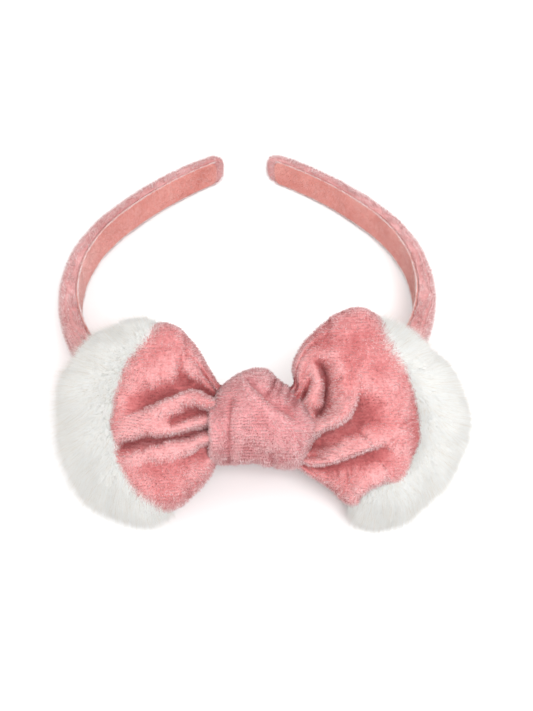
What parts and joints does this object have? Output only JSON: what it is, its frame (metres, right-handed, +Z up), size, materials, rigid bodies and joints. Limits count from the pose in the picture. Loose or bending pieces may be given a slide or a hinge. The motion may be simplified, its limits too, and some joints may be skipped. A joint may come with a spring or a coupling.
{
  "type": "spa headband",
  "caption": "Padded velvet hair hoop with a stuffed velvet bow, white plush edges and a wrapped knot.",
  "frame": {"origin": "on the table under the middle of the headband's bounding box, as it lies at rest", "axes": "+Z up from the table, +Y from the bow towards the hoop's two tips, +X towards the wearer's left when the bow is worn facing forward"},
  "size_m": [0.1418, 0.1846, 0.055],
  "materials": {
    "hoop_core": "moulded plastic strip, hidden under the cloth",
    "wadding": "polyester wadding, hidden",
    "band_velvet": "short-pile pink velvet over padding",
    "lining_velvet": "short-pile pink velvet ribbon",
    "bow_velvet": "short-pile pink velvet",
    "knot_velvet": "short-pile pink velvet with fine ribs",
    "white_plush": "soft white faux-fur pile",
    "thread": "sewing thread"
  },
  "bodies": {
    "hoop_crown": {"core_crown": "hoop_core", "padding_crown": "wadding", "cover_crown": "band_velvet", "lining_crown": "lining_velvet", "bow_front_panel": "bow_velvet", "bow_back_panel": "bow_velvet", "bow_filling_right": "wadding", "bow_filling_left": "wadding", "plush_trim_right": "white_plush", "plush_trim_left": "white_plush", "gather_binding": "thread", "knot_padding": "wadding", "knot_wrap": "knot_velvet", "knot_stitches": "thread"},
    "arm_left": {"cover_arm_left": "band_velvet", "core_arm_left": "hoop_core", "padding_arm_left": "wadding", "lining_arm_left": "lining_velvet"},
    "arm_right": {"cover_arm_right": "band_velvet", "core_arm_right": "hoop_core", "padding_arm_right": "wadding", "lining_arm_right": "lining_velvet"}
  },
  "joints": [
    {"name": "arm_left_flex", "type": "hinge", "parent": "hoop_crown", "child": "arm_left", "pos_m": [-0.05849, -0.02006, 0.01181], "axis": [0, 0.0536, 0.9986], "range_deg": [-4, 24], "stiffness_Nm_per_rad": 0.8},
    {"name": "arm_right_flex", "type": "hinge", "parent": "hoop_crown", "child": "arm_right", "pos_m": [0.05669, -0.02006, 0.01181], "axis": [0, -0.0536, -0.9986], "range_deg": [-4, 24], "stiffness_Nm_per_rad": 0.8}
  ]
}
